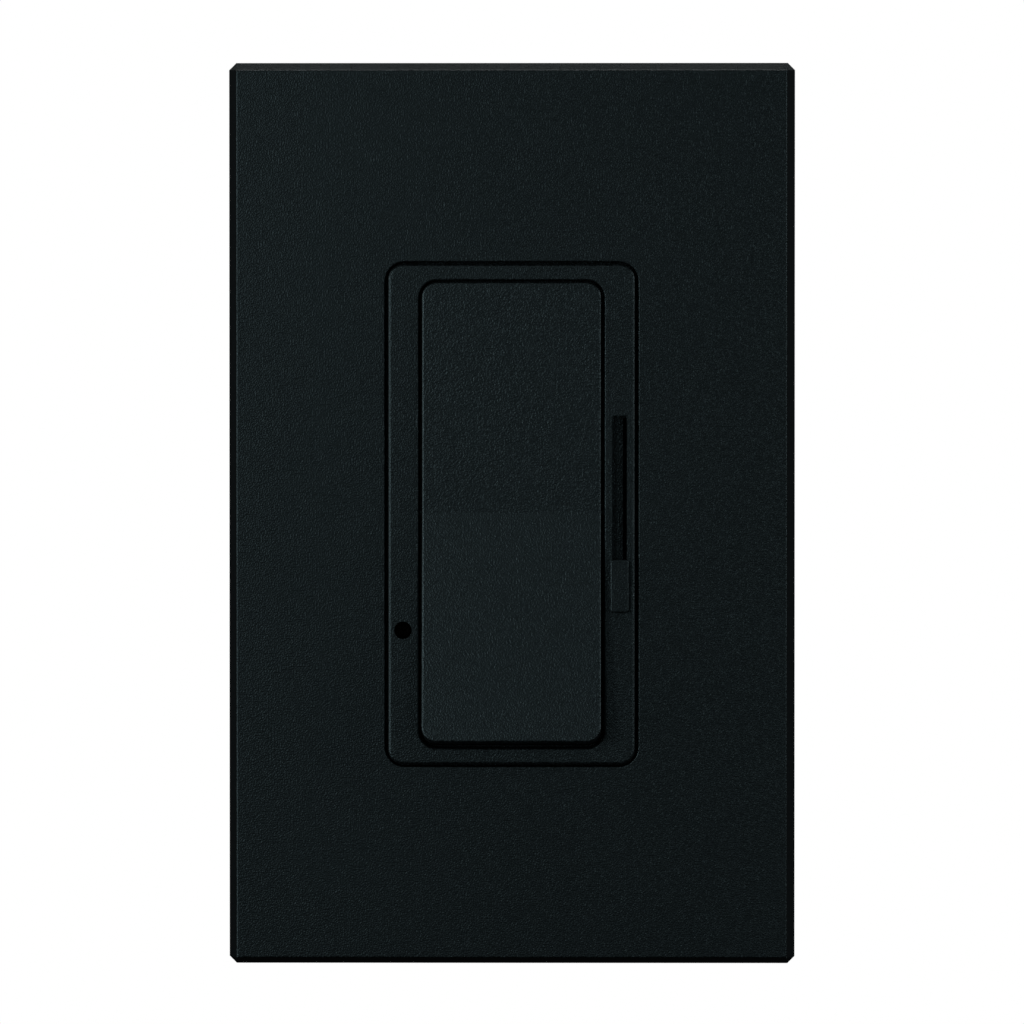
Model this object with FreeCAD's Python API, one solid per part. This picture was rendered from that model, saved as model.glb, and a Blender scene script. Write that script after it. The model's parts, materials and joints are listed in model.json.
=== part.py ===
"""Slide dimmer with a rocker paddle and a screwless wall plate.

Frame: +X to the right seen from the front, +Y into the wall, +Z up, in millimetres.
The origin is midway between the two box screws, on the plane of the wall.
The paddle rests with its top half pressed in, and the slider rests at the bottom of its slot.
"""
import FreeCAD, Part
import math
import os
from FreeCAD import Vector

# ---- driving dimensions ------------------------------------------------------------------
PLATE_WIDTH = 74.8
PLATE_HEIGHT = 119.1
PLATE_DEPTH = 7.3
PLATE_INSET = 1.25            # how far each side wall leans in over the plate's depth
PLATE_CORNER = 0.95           # leg of the 45 degree cut on the rim's corners
PLATE_WALL = 1.7
PLATE_FACE = 2.0
PLATE_EDGE = 0.22
OPENING_WIDTH = 33.24
OPENING_HEIGHT = 66.26
OPENING_RADIUS = 2.6
OPENING_EDGE = 0.2
HOOK_HEIGHT = 45.0            # how far the plate's snap hooks stand above and below the centre
HOOK_INNER = 34.05
HOOK_OUTER = 35.6
HOOK_HALF_WIDTH = 3.0

YOKE_THICKNESS = 1.6
YOKE_WIDTH = 66.0
YOKE_HEIGHT = 76.0
EAR_WIDTH = 32.0
EAR_HEIGHT = 105.0
BOX_SCREW_SPACING = 83.3
PLATE_SCREW_SPACING = 96.8
ADAPTER_WIDTH = 69.5
ADAPTER_HEIGHT = 113.8
ADAPTER_THICKNESS = 2.0
HOUSING_SCREW = (18.8, 32.2)
GROUND_SCREW = (-21.5, -41.5)
BOX_SCREW_HEAD = 3.45
BOX_SCREW_FRONT = -3.6
BOX_SCREW_NECK = 1.5
BOX_SCREW_RADIUS = 1.75
BOX_SCREW_END = 30.0
ADAPTER_SCREW_RADIUS = 1.7
HOUSING_SCREW_RADIUS = 1.2
HOUSING_SCREW_END = 14.2
TERMINAL_SCREW_RADIUS = 1.7
TERMINAL_SCREW_HEAD = 3.5

BEZEL_WIDTH = 32.4
BEZEL_HEIGHT = 65.7
BEZEL_RADIUS = 2.0
BEZEL_FRONT = -7.9
WINDOW_WIDTH = 24.3
WINDOW_HEIGHT = 61.4
WINDOW_RADIUS = 2.3
TRAY_FLOOR = -2.5             # front of the thin floor behind the paddle
FLANGE_FRONT = -2.6           # the thin flange that closes the gap round the bezel from behind
FLANGE_REACH = 0.8
PILOT = (-14.25, -15.2)
PILOT_RADIUS = 1.15
PIPE_FRONT = -5.2             # the light pipe ends well down its hole
BEZEL_HOOK = (14.6, 24.0)

SLOT_LEFT = 13.2
SLOT_RIGHT = 15.14
SLOT_TOP = 12.99
SLOT_DEPTH = 2.6
SLIT_LEFT = 14.62             # the lever's slit runs along the right side of the slot's floor
BLADE_LEFT = 14.68
BLADE_RIGHT = 15.02
BLADE_FRONT = -7.48
BLADE_BACK = 2.4
BLADE_HALF_HEIGHT = 1.5
KNOB_X = (SLOT_LEFT + SLOT_RIGHT) / 2
KNOB_HALF_WIDTH = 1.2
KNOB_BOTTOM = -12.82
KNOB_TOP = -5.9
KNOB_CENTRE = (KNOB_BOTTOM + KNOB_TOP) / 2
KNOB_FRONT = -9.4

PIVOT_Y = -4.0
TRUNNION_RADIUS = 1.0
CREASE_Y = -8.4
PADDLE_WIDTH = 23.5
PADDLE_HALF_LENGTH = 30.2
PADDLE_HALF_TILT = 3.5        # each half of the face leans out from the crease by this
PADDLE_DEPTH = 5.6
PADDLE_WALL = 1.3
PADDLE_EDGE = 0.28
PADDLE_REST_TURN = -3.5
POST_RADIUS = 2.5
POST_HOLE = (3.4, 3.9, 1.5)   # half width, half height and corner radius of the hole round the post
POST_BORE = 1.6
POST_END = 5.0
PLUNGER_TIP = 9.0
PLUNGER_RADIUS = 1.45

ROCKER_PIVOT_Y = 9.5
ROCKER_REST_TURN = 5.0
CONTACT_HEIGHT = 6.5
CONTACT_RADIUS = 1.2

BOARD_FRONT = 6.6
BOARD_BACK = 8.2
BOARD_HALF_WIDTH = 19.0
BOARD_HALF_HEIGHT = 32.0
LEAD = 0.6

HOUSING_HALF_WIDTH = 22.0
HOUSING_HALF_HEIGHT = 35.5
HOUSING_DEPTH = 29.5
HOUSING_WALL = 1.6
TERMINALS = ((1, 20.0), (1, -20.0), (-1, -20.0))   # side of the housing, height
TERMINAL_Y = 18.0

CHOKE = (-9.0, 13.0, 22.5)
CHOKE_OUTER = 7.5
CHOKE_INNER = 3.75
CHOKE_HALF = 3.5
WINDING = 0.9
TRIAC_RIVET_Z = -28.2
TRIAC_HALF_WIDTH = 5.0
TRIAC_LEGS = (-2.54, 0.0, 2.54)
TRIAC_LEG_Z = -15.25          # where the legs go down into the board
LED_RADIUS = 1.5

# ranges of Y that run right through a layer, for cutting
THROUGH_FRONT = (-9.0, 1.0)
THROUGH_ADAPTER = (-5.0, 0.0)
THROUGH_YOKE = (-3.0, 1.0)
THROUGH_BOARD = (0.0, 20.0)

Y_AXIS = Vector(0, 1, 0)
X_AXIS = Vector(1, 0, 0)


# ---- shape helpers -----------------------------------------------------------------------
def box(x, y, z):
    """A block between two limits on each axis."""
    size = [high - low for low, high in (x, y, z)]
    return Part.makeBox(*size, Vector(x[0], y[0], z[0]))


def middle_box(half_x, y, half_z, centre=(0.0, 0.0)):
    """A block centred on a point of the X-Z plane."""
    x, z = centre
    return box((x - half_x, x + half_x), y, (z - half_z, z + half_z))


def rod_y(radius, centre, y):
    """A cylinder along Y through a point of the X-Z plane."""
    return Part.makeCylinder(radius, y[1] - y[0], Vector(centre[0], y[0], centre[1]), Y_AXIS)


def rod_x(radius, y, z, x):
    return Part.makeCylinder(radius, x[1] - x[0], Vector(x[0], y, z), X_AXIS)


def cone_y(centre, y, radii):
    start = Vector(centre[0], y[0], centre[1])
    return Part.makeCone(radii[0], radii[1], y[1] - y[0], start, Y_AXIS)


def edges_along(shape, axis):
    """Straight edges parallel to an axis."""
    found = []
    for edge in shape.Edges:
        if edge.Curve.TypeId == "Part::GeomLine":
            if abs(edge.tangentAt(edge.FirstParameter).dot(axis)) > 0.9999:
                found.append(edge)
    return found


def edges_on(shape, y, half_width=1e9, half_height=1e9):
    """Edges that lie in a plane across Y, within a rectangle about the centre."""
    found = []
    for edge in shape.Edges:
        limits = edge.BoundBox
        flat = abs(limits.YMin - y) < 0.01 and abs(limits.YMax - y) < 0.01
        reach_x = max(abs(limits.XMin), abs(limits.XMax))
        reach_z = max(abs(limits.ZMin), abs(limits.ZMax))
        if flat and reach_x < half_width and reach_z < half_height:
            found.append(edge)
    return found


def rounded_slab(half_x, y, half_z, radius, centre=(0.0, 0.0)):
    """A block whose four edges along Y are rounded."""
    slab = middle_box(half_x, y, half_z, centre)
    return slab.makeFillet(radius, edges_along(slab, Y_AXIS))


def tapered_block(y_front, front, y_back, back):
    """A block whose half sizes change evenly from its front to its back."""
    fx, fz = front
    bx, bz = back
    return Part.makeWedge(-fx, y_front, -fz, -bz, -bx, fx, y_back, fz, bz, bx)


def joined(first, *others):
    return first.multiFuse(list(others)).removeSplitter()


def without(shape, *tools):
    return shape.cut(list(tools))


def group(shapes):
    return Part.makeCompound(shapes)


def turned(shape, pivot_y, degrees):
    """A copy turned about a line along X at a depth pivot_y on the middle plane."""
    copy = shape.copy()
    copy.rotate(Vector(0, pivot_y, 0), X_AXIS, degrees)
    return copy


def both(values):
    return [sign * value for sign in (-1, 1) for value in values]


def quadrants(point):
    return [(i * point[0], j * point[1]) for i in (-1, 1) for j in (-1, 1)]


def cross_recess(centre, y, reach, width=0.9):
    """The two bars of a cross-head recess."""
    wide = middle_box(reach, y, width / 2, centre)
    tall = middle_box(width / 2, y, reach, centre)
    return [wide, tall]


# ---- the screwless wall plate ------------------------------------------------------------
def plate_half(y, wall=0.0):
    """Half sizes of the plate's outside at a depth, less a wall."""
    lean = PLATE_INSET * -y / PLATE_DEPTH
    return PLATE_WIDTH / 2 - lean - wall, PLATE_HEIGHT / 2 - lean - wall


def corner_cut(sign_x, sign_z):
    """A block outside the flat that runs from the rim's corner cut to the face's sharp corner."""
    half_x, half_z = PLATE_WIDTH / 2, PLATE_HEIGHT / 2
    front_x, front_z = plate_half(-PLATE_DEPTH)
    first = Vector(sign_x * (half_x - PLATE_CORNER), 0, sign_z * half_z)
    second = Vector(sign_x * half_x, 0, sign_z * (half_z - PLATE_CORNER))
    third = Vector(sign_x * front_x, -PLATE_DEPTH, sign_z * front_z)
    normal = (second - first).cross(third - first).normalize()
    if normal.x * sign_x < 0:
        normal = normal * -1
    disc = Part.Face(Part.Wire(Part.makeCircle(9, (first + second) * 0.5, normal)))
    return disc.extrude(normal * 3)


def make_wallplate_cover():
    back_y = -PLATE_DEPTH + PLATE_FACE
    shell = tapered_block(-PLATE_DEPTH, plate_half(-PLATE_DEPTH), 0, plate_half(0))
    shell = shell.makeFillet(PLATE_EDGE, edges_on(shell, -PLATE_DEPTH))
    shell = without(shell, *[corner_cut(i, j) for i in (-1, 1) for j in (-1, 1)])
    deep = 1.0
    cavity = tapered_block(back_y, plate_half(back_y, PLATE_WALL), deep, plate_half(deep, PLATE_WALL))
    opening = rounded_slab(OPENING_WIDTH / 2, THROUGH_FRONT, OPENING_HEIGHT / 2, OPENING_RADIUS)
    cover = without(shell, cavity, opening)
    opening_edge = edges_on(cover, -PLATE_DEPTH, OPENING_WIDTH / 2 + 1, OPENING_HEIGHT / 2 + 1)
    cover = cover.makeFillet(OPENING_EDGE, opening_edge)
    # a collar behind the opening and stiffening ribs behind the face
    collar = rounded_slab(OPENING_WIDTH / 2 + 1.3, (back_y, -4.0), OPENING_HEIGHT / 2 + 1.3, 3.9)
    collar = without(collar, opening)
    ribs = [box((x - 0.5, x + 0.5), (back_y, -4.2), (-56.0, 56.0)) for x in both([25.0])]
    # four hooks that snap behind the adapter's edge
    hooks = []
    for side, height in quadrants((1, HOOK_HEIGHT)):
        low, high = height - HOOK_HALF_WIDTH, height + HOOK_HALF_WIDTH
        arm = box(sorted((side * HOOK_INNER, side * HOOK_OUTER)), (back_y, -0.7), (low, high))
        tip = HOOK_INNER - 0.9
        profile = [(HOOK_INNER, -1.5), (tip, -1.5), (tip, -1.15), (HOOK_INNER, -0.7)]
        points = [Vector(side * x, y, low) for x, y in profile]
        barb = Part.Face(Part.makePolygon(points + points[:1])).extrude(Vector(0, 0, high - low))
        hooks += [arm, barb]
    return joined(cover, collar, *ribs, *hooks)


def make_wallplate_adapter():
    back = -YOKE_THICKNESS
    front = back - ADAPTER_THICKNESS
    plate = rounded_slab(ADAPTER_WIDTH / 2, (front, back), ADAPTER_HEIGHT / 2, 1.5)
    cuts = [rounded_slab(OPENING_WIDTH / 2 + 0.75, THROUGH_ADAPTER, OPENING_HEIGHT / 2 + 0.8, 3.0)]
    for z in both([BOX_SCREW_SPACING / 2]):
        cuts.append(rod_y(4.25, (0, z), THROUGH_ADAPTER))
    for z in both([PLATE_SCREW_SPACING / 2]):
        cuts.append(rod_y(1.9, (0, z), THROUGH_ADAPTER))
        cuts.append(cone_y((0, z), (front, front + 1.7), (3.6, 1.9)))
    for side, height in quadrants((1, HOOK_HEIGHT)):
        reach = HOOK_HALF_WIDTH + 0.5
        notch = sorted((side * (HOOK_INNER - 0.45), side * (HOOK_OUTER + 0.4)))
        cuts.append(box(notch, THROUGH_ADAPTER, (height - reach, height + reach)))
    for height in (8.0, 24.0):
        for x, z in quadrants((26.0, height)):
            cuts.append(rounded_slab(4.0, THROUGH_ADAPTER, 5.4, 1.5, (x, z)))
    for x, z in quadrants((15.5, 48.4)):
        cuts.append(rounded_slab(5.0, THROUGH_ADAPTER, 2.8, 1.2, (x, z)))
    cuts.append(rod_y(2.6, GROUND_SCREW, THROUGH_ADAPTER))
    return without(plate, *cuts)


def make_adapter_screws():
    screws = []
    front = -YOKE_THICKNESS - ADAPTER_THICKNESS
    for z in both([PLATE_SCREW_SPACING / 2]):
        head = cone_y((0, z), (front, front + 1.6), (3.45, ADAPTER_SCREW_RADIUS))
        shank = rod_y(ADAPTER_SCREW_RADIUS, (0, z), (front + 1.6, 3.0))
        tip = cone_y((0, z), (3.0, 3.8), (ADAPTER_SCREW_RADIUS, 1.1))
        recess = cross_recess((0, z), (front - 0.1, front + 0.9), 1.7)
        screws.append(without(joined(head, shank, tip), *recess))
    return group(screws)


# ---- mounting to the wall box ------------------------------------------------------------
def make_box_screws():
    screws = []
    for z in both([BOX_SCREW_SPACING / 2]):
        head = rod_y(BOX_SCREW_HEAD, (0, z), (BOX_SCREW_FRONT, -YOKE_THICKNESS))
        head = head.makeFillet(0.9, edges_on(head, BOX_SCREW_FRONT))
        neck = rod_y(BOX_SCREW_NECK, (0, z), (-YOKE_THICKNESS, 0))
        thread = rod_y(BOX_SCREW_RADIUS, (0, z), (0, BOX_SCREW_END - 1))
        tip = cone_y((0, z), (BOX_SCREW_END - 1, BOX_SCREW_END), (BOX_SCREW_RADIUS, 1.1))
        recess = cross_recess((0, z), (BOX_SCREW_FRONT - 0.1, BOX_SCREW_FRONT + 1.1), 1.9)
        screws.append(without(joined(head, neck, thread, tip), *recess))
    return group(screws)


def make_screw_retainers():
    """Bushes in the yoke's slots that hold the box screws by their thin necks."""
    bushes = []
    for z in both([BOX_SCREW_SPACING / 2]):
        bush = rounded_slab(3.2, (-YOKE_THICKNESS, 0), 1.85, 1.8, (0, z))
        bushes.append(without(bush, rod_y(BOX_SCREW_NECK + 0.06, (0, z), THROUGH_YOKE)))
    return group(bushes)


def make_heatsink_yoke():
    front = -YOKE_THICKNESS
    plate = rounded_slab(YOKE_WIDTH / 2, (front, 0), YOKE_HEIGHT / 2, 3.0)
    ears = rounded_slab(EAR_WIDTH / 2, (front, 0), EAR_HEIGHT / 2, 4.0)
    tab = rounded_slab(5.6, (front, 0), 4.6, 2.0, GROUND_SCREW)
    tab_root = box((-27.1, -15.0), (front, 0), (-42.0, -37.0))
    yoke = joined(plate, ears, tab, tab_root)
    cuts = []
    for z in both([BOX_SCREW_SPACING / 2]):
        slot = middle_box(3.3, THROUGH_YOKE, 1.95, (0, z))
        cuts.append(slot.makeFillet(1.9, edges_along(slot, Y_AXIS)))
    for z in both([PLATE_SCREW_SPACING / 2]):
        cuts.append(rod_y(1.75, (0, z), THROUGH_YOKE))
    cuts.append(rod_y(1.65, GROUND_SCREW, THROUGH_YOKE))
    cuts.append(rounded_slab(POST_HOLE[0], THROUGH_YOKE, *POST_HOLE[1:]))
    cuts.append(rounded_slab(1.7, THROUGH_YOKE, 14.5, 1.0, (KNOB_X, 0)))
    cuts.append(rod_y(1.8, PILOT, THROUGH_YOKE))
    cuts.append(rod_y(1.5, (0, TRIAC_RIVET_Z), THROUGH_YOKE))
    for x, z in quadrants(BEZEL_HOOK):
        side = math.copysign(1, x)
        cuts.append(box(sorted((side * 13.7, side * 15.35)), THROUGH_YOKE, (z - 2.3, z + 2.3)))
    for x, z in quadrants(HOUSING_SCREW):
        cuts.append(rod_y(1.35, (x, z), THROUGH_YOKE))
        cuts.append(cone_y((x, z), (front, front + 1.35), (2.7, 1.35)))
    # grooves where the side fins break off for ganged boxes
    for x in both([22.5]):
        cuts.append(box((x - 0.4, x + 0.4), (front - 0.1, front + 0.5), (-45, 45)))
    return without(yoke, *cuts)


def make_ground_screw():
    x, z = GROUND_SCREW
    sides = [Vector(x + 3.6 * math.cos(a), 0.7, z + 3.6 * math.sin(a)) for a in
             [math.radians(60 * k) for k in range(7)]]
    hexagon = Part.Face(Part.makePolygon(sides)).extrude(Vector(0, 1.9, 0))
    washer = rod_y(4.0, GROUND_SCREW, (0, 0.7))
    shank = rod_y(1.6, GROUND_SCREW, (-3.4, 0))
    slot = box((x - 4, x + 4), (1.8, 2.7), (z - 0.45, z + 0.45))
    return without(joined(hexagon, washer, shank), slot)


# ---- bezel, paddle and its plunger -------------------------------------------------------
def make_bezel():
    front = THROUGH_FRONT[0]
    back = -YOKE_THICKNESS
    body = rounded_slab(BEZEL_WIDTH / 2, (BEZEL_FRONT, back), BEZEL_HEIGHT / 2, BEZEL_RADIUS)
    body = body.makeFillet(0.4, edges_on(body, BEZEL_FRONT))
    flange = rounded_slab(BEZEL_WIDTH / 2 + FLANGE_REACH, (FLANGE_FRONT, back),
                          BEZEL_HEIGHT / 2 + FLANGE_REACH, BEZEL_RADIUS + FLANGE_REACH)
    body = joined(body, flange)
    tray = rounded_slab(WINDOW_WIDTH / 2, (front, TRAY_FLOOR), WINDOW_HEIGHT / 2, WINDOW_RADIUS)
    post_hole = rounded_slab(POST_HOLE[0], (-4, 0), *POST_HOLE[1:])
    rivet_hole = rod_y(2.3, (0, TRIAC_RIVET_Z), (-4, 0))
    floor_front = BEZEL_FRONT + SLOT_DEPTH
    floor_back = floor_front + 1.2
    slot = box((SLOT_LEFT, SLOT_RIGHT), (front, floor_front), (KNOB_BOTTOM, SLOT_TOP))
    slit = box((SLIT_LEFT, SLOT_RIGHT), (front, floor_back + 0.1), (KNOB_BOTTOM + 0.3, SLOT_TOP - 0.3))
    pocket = box((13.9, 15.5), (floor_back, 0), (-14.2, 14.2))
    pilot = rod_y(PILOT_RADIUS, PILOT, (front, 0))
    pivots = rod_x(TRUNNION_RADIUS + 0.05, PIVOT_Y, 0, (-13.4, 13.4))
    frame = without(body, tray, post_hole, rivet_hole, slot, slit, pocket, pilot, pivots)
    window_edge = edges_on(frame, BEZEL_FRONT, WINDOW_WIDTH / 2 + 0.1, WINDOW_HEIGHT / 2 + 0.1)
    frame = frame.makeFillet(0.25, window_edge)
    hooks = []
    for x, z in quadrants(BEZEL_HOOK):
        side = math.copysign(1, x)
        hooks.append(box(sorted((side * 14.1, side * 15.1)), (back, 0.9), (z - 2, z + 2)))
        profile = [(15.1, 0.05), (15.75, 0.05), (15.75, 0.3), (15.1, 0.9)]
        points = [Vector(side * px, y, z - 2) for px, y in profile]
        barb = Part.Face(Part.makePolygon(points + points[:1]))
        hooks.append(barb.extrude(Vector(0, 0, 4)))
    return joined(frame, *hooks)


def paddle_point(half, along, depth):
    """A point of the paddle's side view: half is +1 or -1, along runs up the face, depth into it."""
    tilt = math.radians(PADDLE_HALF_TILT)
    y = CREASE_Y - along * math.sin(tilt) + depth * math.cos(tilt)
    z = along * math.cos(tilt) + depth * math.sin(tilt)
    return y, half * z


def paddle_block(half_width, front, back, length):
    """The paddle's V section between two depths behind its face, run across its width."""
    tilt = math.radians(PADDLE_HALF_TILT)
    side_view = [(CREASE_Y + front / math.cos(tilt), 0)]
    side_view += [paddle_point(1, length, front), paddle_point(1, length, back)]
    side_view += [(CREASE_Y + back / math.cos(tilt), 0)]
    side_view += [paddle_point(-1, length, back), paddle_point(-1, length, front)]
    points = [Vector(-half_width, y, z) for y, z in side_view]
    return Part.Face(Part.makePolygon(points + points[:1])).extrude(Vector(2 * half_width, 0, 0))


def paddle_end_edges(shape, half_width):
    """The four edges where the paddle's end walls meet its side walls."""
    found = []
    for edge in shape.Edges:
        limits = edge.BoundBox
        reach = max(abs(limits.ZMin), abs(limits.ZMax))
        low = min(abs(limits.ZMin), abs(limits.ZMax))
        if limits.XLength < 0.01 and low > 20 and reach - low < 1 and limits.YLength > 2:
            if abs(abs(limits.XMin) - half_width) < 0.01:
                found.append(edge)
    return found


def make_paddle():
    half = PADDLE_WIDTH / 2
    body = paddle_block(half, 0, PADDLE_DEPTH, PADDLE_HALF_LENGTH)
    body = body.makeFillet(1.95, paddle_end_edges(body, half))
    rim = []
    for edge in body.Edges:
        middle = edge.valueAt((edge.FirstParameter + edge.LastParameter) / 2)
        face_y = paddle_point(1, abs(middle.z) / math.cos(math.radians(PADDLE_HALF_TILT)), 0)[0]
        if abs(middle.y - face_y) < 0.02 and (abs(middle.x) > 1 or abs(middle.z) > 20):
            rim.append(edge)
    body = body.makeFillet(PADDLE_EDGE, rim)
    hollow = paddle_block(half - PADDLE_WALL, PADDLE_WALL + 0.3, PADDLE_DEPTH + 3,
                          PADDLE_HALF_LENGTH - PADDLE_WALL)
    body = without(body, hollow)
    inside = CREASE_Y + PADDLE_WALL
    post = rod_y(POST_RADIUS, (0, 0), (inside, POST_END))
    webs = [middle_box(half - 0.5, (inside, -4.5), 0.5), middle_box(0.5, (inside, -4.5), 12.0)]
    trunnions = []
    for side in (-1, 1):
        reach = sorted((side * (half - PADDLE_WALL), side * 13.3))
        trunnions.append(rod_x(TRUNNION_RADIUS, PIVOT_Y, 0, reach))
    bore = rod_y(POST_BORE, (0, 0), (inside + 0.4, POST_END + 1))
    paddle = without(joined(body, post, *webs, *trunnions), bore)
    return turned(paddle, PIVOT_Y, PADDLE_REST_TURN)


def make_paddle_plunger():
    start = PLUNGER_TIP - PLUNGER_RADIUS
    stem = rod_y(PLUNGER_RADIUS, (0, 0), (2.5, start))
    tip = Part.makeSphere(PLUNGER_RADIUS, Vector(0, start, 0))
    pin = rod_y(0.7, (0, 0), (0.9, 2.5))
    return turned(joined(stem, tip, pin), PIVOT_Y, PADDLE_REST_TURN)


def make_plunger_spring():
    start, end, wire, radius = -6.4, 2.25, 0.16, 1.18
    helix = Part.makeHelix(1.4, end - start, radius)
    section = Part.Wire(Part.makeCircle(wire, Vector(radius, 0, 0), Vector(0, 1, 0)))
    spring = Part.Wire(helix).makePipeShell([section], True, True)
    spring.rotate(Vector(0, 0, 0), X_AXIS, -90)
    spring.translate(Vector(0, start, 0))
    return turned(spring, PIVOT_Y, PADDLE_REST_TURN)


# ---- the switch contacts -----------------------------------------------------------------
def make_contact_rocker():
    front = ROCKER_PIVOT_Y - 0.4
    blade = middle_box(2.5, (front, front + 0.8), 8.0)
    blade = blade.makeFillet(0.8, edges_along(blade, Y_AXIS))
    pins = [rod_x(0.6, ROCKER_PIVOT_Y, 0, sorted((side * 2.0, side * 3.5))) for side in (-1, 1)]
    return turned(joined(blade, *pins), ROCKER_PIVOT_Y, ROCKER_REST_TURN)


def make_rocker_contact_buttons():
    back = ROCKER_PIVOT_Y + 0.4
    buttons = [rod_y(CONTACT_RADIUS, (0, z), (back, back + 0.5)) for z in both([CONTACT_HEIGHT])]
    return turned(group(buttons), ROCKER_PIVOT_Y, ROCKER_REST_TURN)


def make_common_terminal():
    base = middle_box(3.45, (12.3, 13.0), 2.0)
    cheeks = [box(sorted((side * 2.75, side * 3.45)), (8.4, 13.0), (-1.7, 1.7)) for side in (-1, 1)]
    leg = middle_box(1.5, (13.0, 16.5), LEAD / 2)
    return without(joined(base, leg, *cheeks), rod_x(0.66, ROCKER_PIVOT_Y, 0, (-5, 5)))


def make_fixed_contact(side):
    strip = box((-2, 2), (11.62, 12.12), sorted((side * 5.0, side * 11.2)))
    leg = box((-1.2, 1.2), (11.62, 16.5), sorted((side * 10.6, side * 11.2)))
    return joined(strip, leg)


def make_fixed_contact_buttons():
    return group([rod_y(CONTACT_RADIUS, (0, z), (11.12, 11.62)) for z in both([6.4])])


def make_switch_base():
    """An open cup in the board's cut-out, with slots for the contacts' legs in its floor."""
    cup = rounded_slab(9.0, (BOARD_FRONT - 1.1, 14.0), 13.0, 1.0)
    flange = rounded_slab(10.4, (BOARD_FRONT - 1.1, BOARD_FRONT), 14.2, 1.0)
    inside = middle_box(8.0, (0, 13.0), 12.0)
    legs = [middle_box(1.6, (12, 15), 0.35)]
    legs += [middle_box(1.3, (12, 15), 0.35, (0, z)) for z in both([10.9])]
    return without(joined(cup, flange), inside, *legs)


# ---- the dimming slider ------------------------------------------------------------------
def make_slider_knob():
    head = middle_box(KNOB_HALF_WIDTH, (KNOB_FRONT, BEZEL_FRONT - 0.05), (KNOB_TOP - KNOB_BOTTOM) / 2,
                      (KNOB_X, KNOB_CENTRE))
    head = head.makeFillet(0.3, edges_along(head, Y_AXIS))
    head = head.makeFillet(0.18, edges_on(head, KNOB_FRONT))
    guide = box((SLOT_LEFT + 0.1, SLOT_RIGHT - 0.1), (BEZEL_FRONT - 0.05, BEZEL_FRONT + SLOT_DEPTH - 0.15),
                (KNOB_BOTTOM + 0.2, KNOB_TOP - 0.4))
    reach = BLADE_HALF_HEIGHT + 0.02
    socket = box((BLADE_LEFT - 0.02, BLADE_RIGHT + 0.5), (BLADE_FRONT - 0.02, BEZEL_FRONT + SLOT_DEPTH),
                 (KNOB_CENTRE - reach, KNOB_CENTRE + reach))
    return without(joined(head, guide), socket)


def make_slider_lever():
    height = (KNOB_CENTRE - BLADE_HALF_HEIGHT, KNOB_CENTRE + BLADE_HALF_HEIGHT)
    return box((BLADE_LEFT, BLADE_RIGHT), (BLADE_FRONT, BLADE_BACK), height)


def make_pot_carriage():
    block = box((12.0, 16.4), (2.0, 4.4), (KNOB_CENTRE - 2.6, KNOB_CENTRE + 2.6))
    reach = BLADE_HALF_HEIGHT + 0.02
    socket = box((BLADE_LEFT - 0.02, BLADE_RIGHT + 0.02), (1, BLADE_BACK + 0.02),
                 (KNOB_CENTRE - reach, KNOB_CENTRE + reach))
    return without(block, socket)


def make_pot_wiper():
    """Two bowed spring fingers under the carriage, reaching towards the resistive track."""
    fingers = []
    for x in (12.9, 15.0):
        low, high = KNOB_CENTRE - 2.4, KNOB_CENTRE + 2.4
        outer = Part.makePolygon([Vector(x, 4.4, high), Vector(x, 4.62, high), Vector(x, 5.34, low + 0.9),
                                  Vector(x, 5.14, low), Vector(x, 4.9, low + 0.1),
                                  Vector(x, 5.02, low + 0.9), Vector(x, 4.4, high - 0.7),
                                  Vector(x, 4.4, high)])
        fingers.append(Part.Face(outer).extrude(Vector(0.7, 0, 0)))
    return group(fingers)


def make_pot_housing():
    shell = box((10.9, 17.4), (1.0, BOARD_FRONT), (-16.0, 16.0))
    shell = shell.makeFillet(0.5, edges_along(shell, Y_AXIS))
    inside = box((11.7, 16.6), (1.8, 5.9), (-14.8, 14.8))
    mouth = box((BLADE_LEFT - 0.7, BLADE_RIGHT + 0.7), (0, 2), (-12.6, 12.6))
    return without(shell, inside, mouth)


def make_pot_element():
    return box((11.8, 16.5), (5.4, 5.88), (-14.7, 14.7))


# ---- electronics -------------------------------------------------------------------------
def make_circuit_board():
    board = middle_box(BOARD_HALF_WIDTH, (BOARD_FRONT, BOARD_BACK), BOARD_HALF_HEIGHT)
    cuts = [middle_box(9.3, THROUGH_BOARD, 13.3)]
    for x, z in quadrants((BOARD_HALF_WIDTH, BOARD_HALF_HEIGHT)):
        cuts.append(middle_box(3.2, THROUGH_BOARD, 2.8, (x, z)))
    cuts += [rod_y(0.5, (x, TRIAC_LEG_Z - 0.05), THROUGH_BOARD) for x in TRIAC_LEGS]
    return without(board, *cuts)


def make_triac_tab():
    z = TRIAC_RIVET_Z
    half = TRIAC_HALF_WIDTH
    tab = box((-half, half), (0.3, 1.5), (z - 3.2, z + 3.0))
    tab = without(tab, rod_y(1.5, (0, z), (0, 3)))
    parts = [tab]
    for x in TRIAC_LEGS:
        leg = (x - 0.35, x + 0.35)
        out = box(leg, (2.4, 2.9), (z + 12.6, TRIAC_LEG_Z + 0.3))
        down = box(leg, (2.4, 9.2), (TRIAC_LEG_Z - 0.3, TRIAC_LEG_Z + 0.3))
        parts.append(joined(out, down))
    return group(parts)


def make_triac_body():
    z = TRIAC_RIVET_Z
    body = box((-TRIAC_HALF_WIDTH, TRIAC_HALF_WIDTH), (0.3, 4.7), (z + 3.0, z + 12.3))
    return body.makeChamfer(0.5, edges_on(body, 4.7))


def make_triac_insulator():
    z = TRIAC_RIVET_Z
    sheet = box((-6.4, 6.4), (0, 0.28), (z - 4.4, z + 12.8))
    return without(sheet, rod_y(1.5, (0, z), (-1, 1)))


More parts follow.
